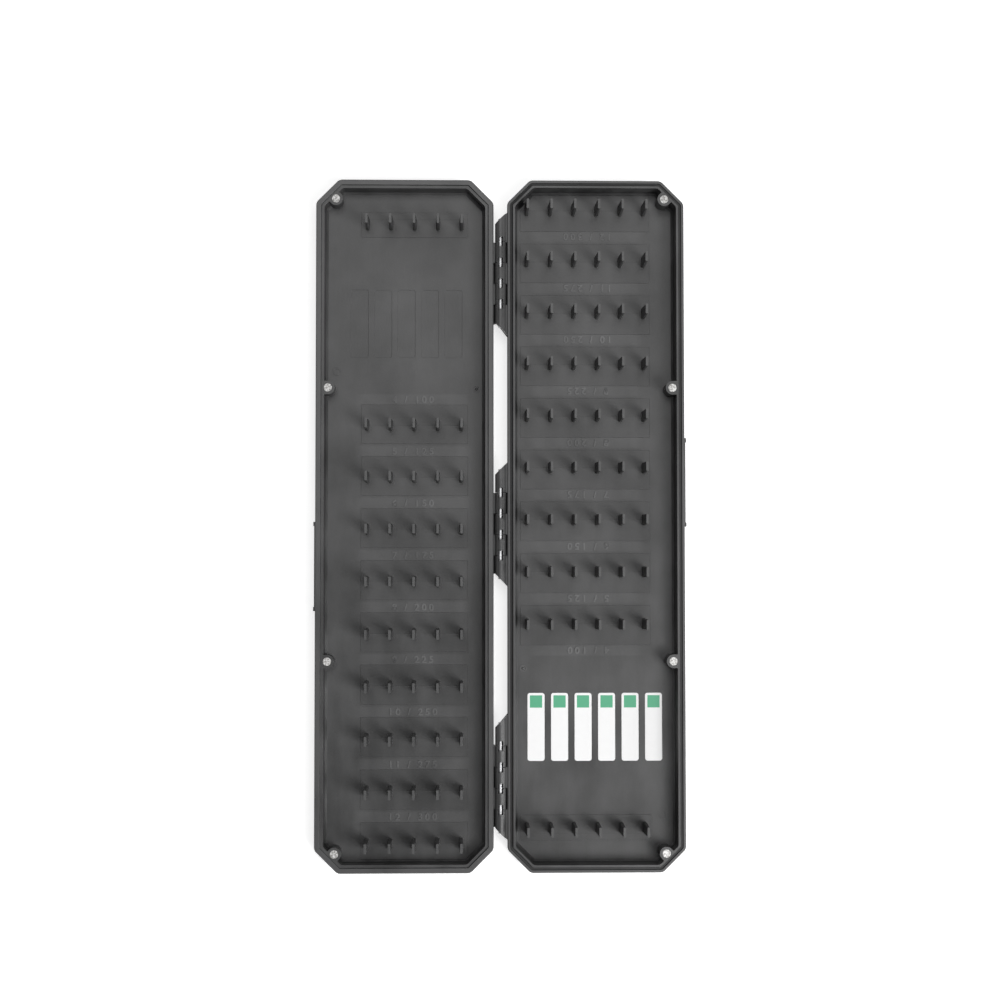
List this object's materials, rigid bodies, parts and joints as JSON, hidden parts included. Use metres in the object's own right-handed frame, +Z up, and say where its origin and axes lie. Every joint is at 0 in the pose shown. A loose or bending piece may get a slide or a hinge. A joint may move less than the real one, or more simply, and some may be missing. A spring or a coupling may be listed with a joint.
{
  "type": "hooklength box",
  "caption": "Long flat hinged case in two trays with rows of pegs that hold tied fishing leaders, closed by magnets in the rims, shown open flat.",
  "frame": {"origin": "middle of the hinge line, at the level of the two resting faces, with the box open flat", "axes": "+Y along the hinges, +Z up out of the open trays, base tray at +X and lid tray at -X"},
  "size_m": [0.178, 0.33, 0.0205],
  "materials": {
    "tray_plastic": "fine satin moulding",
    "pin_steel": "bright drawn wire",
    "magnet_nickel": "bright nickel plate",
    "label_film": "white writing film with a coloured square"
  },
  "bodies": {
    "base": {"base_shell": "tray_plastic", "base_hook_strip": "tray_plastic", "base_peg_strip_1": "tray_plastic", "base_peg_strip_2": "tray_plastic", "base_peg_strip_3": "tray_plastic", "base_peg_strip_4": "tray_plastic", "base_peg_strip_5": "tray_plastic", "base_peg_strip_6": "tray_plastic", "base_peg_strip_7": "tray_plastic", "base_peg_strip_8": "tray_plastic", "base_peg_strip_9": "tray_plastic", "base_magnet_top_corner": "magnet_nickel", "base_magnet_top_side": "magnet_nickel", "base_magnet_bottom_corner": "magnet_nickel", "base_magnet_bottom_side": "magnet_nickel", "hinge_pin_bottom": "pin_steel", "hinge_pin_middle": "pin_steel", "hinge_pin_top": "pin_steel", "label_1": "label_film", "label_2": "label_film", "label_3": "label_film", "label_4": "label_film", "label_5": "label_film", "label_6": "label_film"},
    "lid": {"lid_shell": "tray_plastic", "lid_hook_strip": "tray_plastic", "lid_peg_strip_1": "tray_plastic", "lid_peg_strip_2": "tray_plastic", "lid_peg_strip_3": "tray_plastic", "lid_peg_strip_4": "tray_plastic", "lid_peg_strip_5": "tray_plastic", "lid_peg_strip_6": "tray_plastic", "lid_peg_strip_7": "tray_plastic", "lid_peg_strip_8": "tray_plastic", "lid_peg_strip_9": "tray_plastic", "lid_magnet_top_corner": "magnet_nickel", "lid_magnet_top_side": "magnet_nickel", "lid_magnet_bottom_corner": "magnet_nickel", "lid_magnet_bottom_side": "magnet_nickel"}
  },
  "joints": [
    {"name": "lid_hinge", "type": "hinge", "parent": "base", "child": "lid", "pos_m": [0, 0, 0.01255], "axis": [0, 1, 0], "range_deg": [0, 180]}
  ]
}
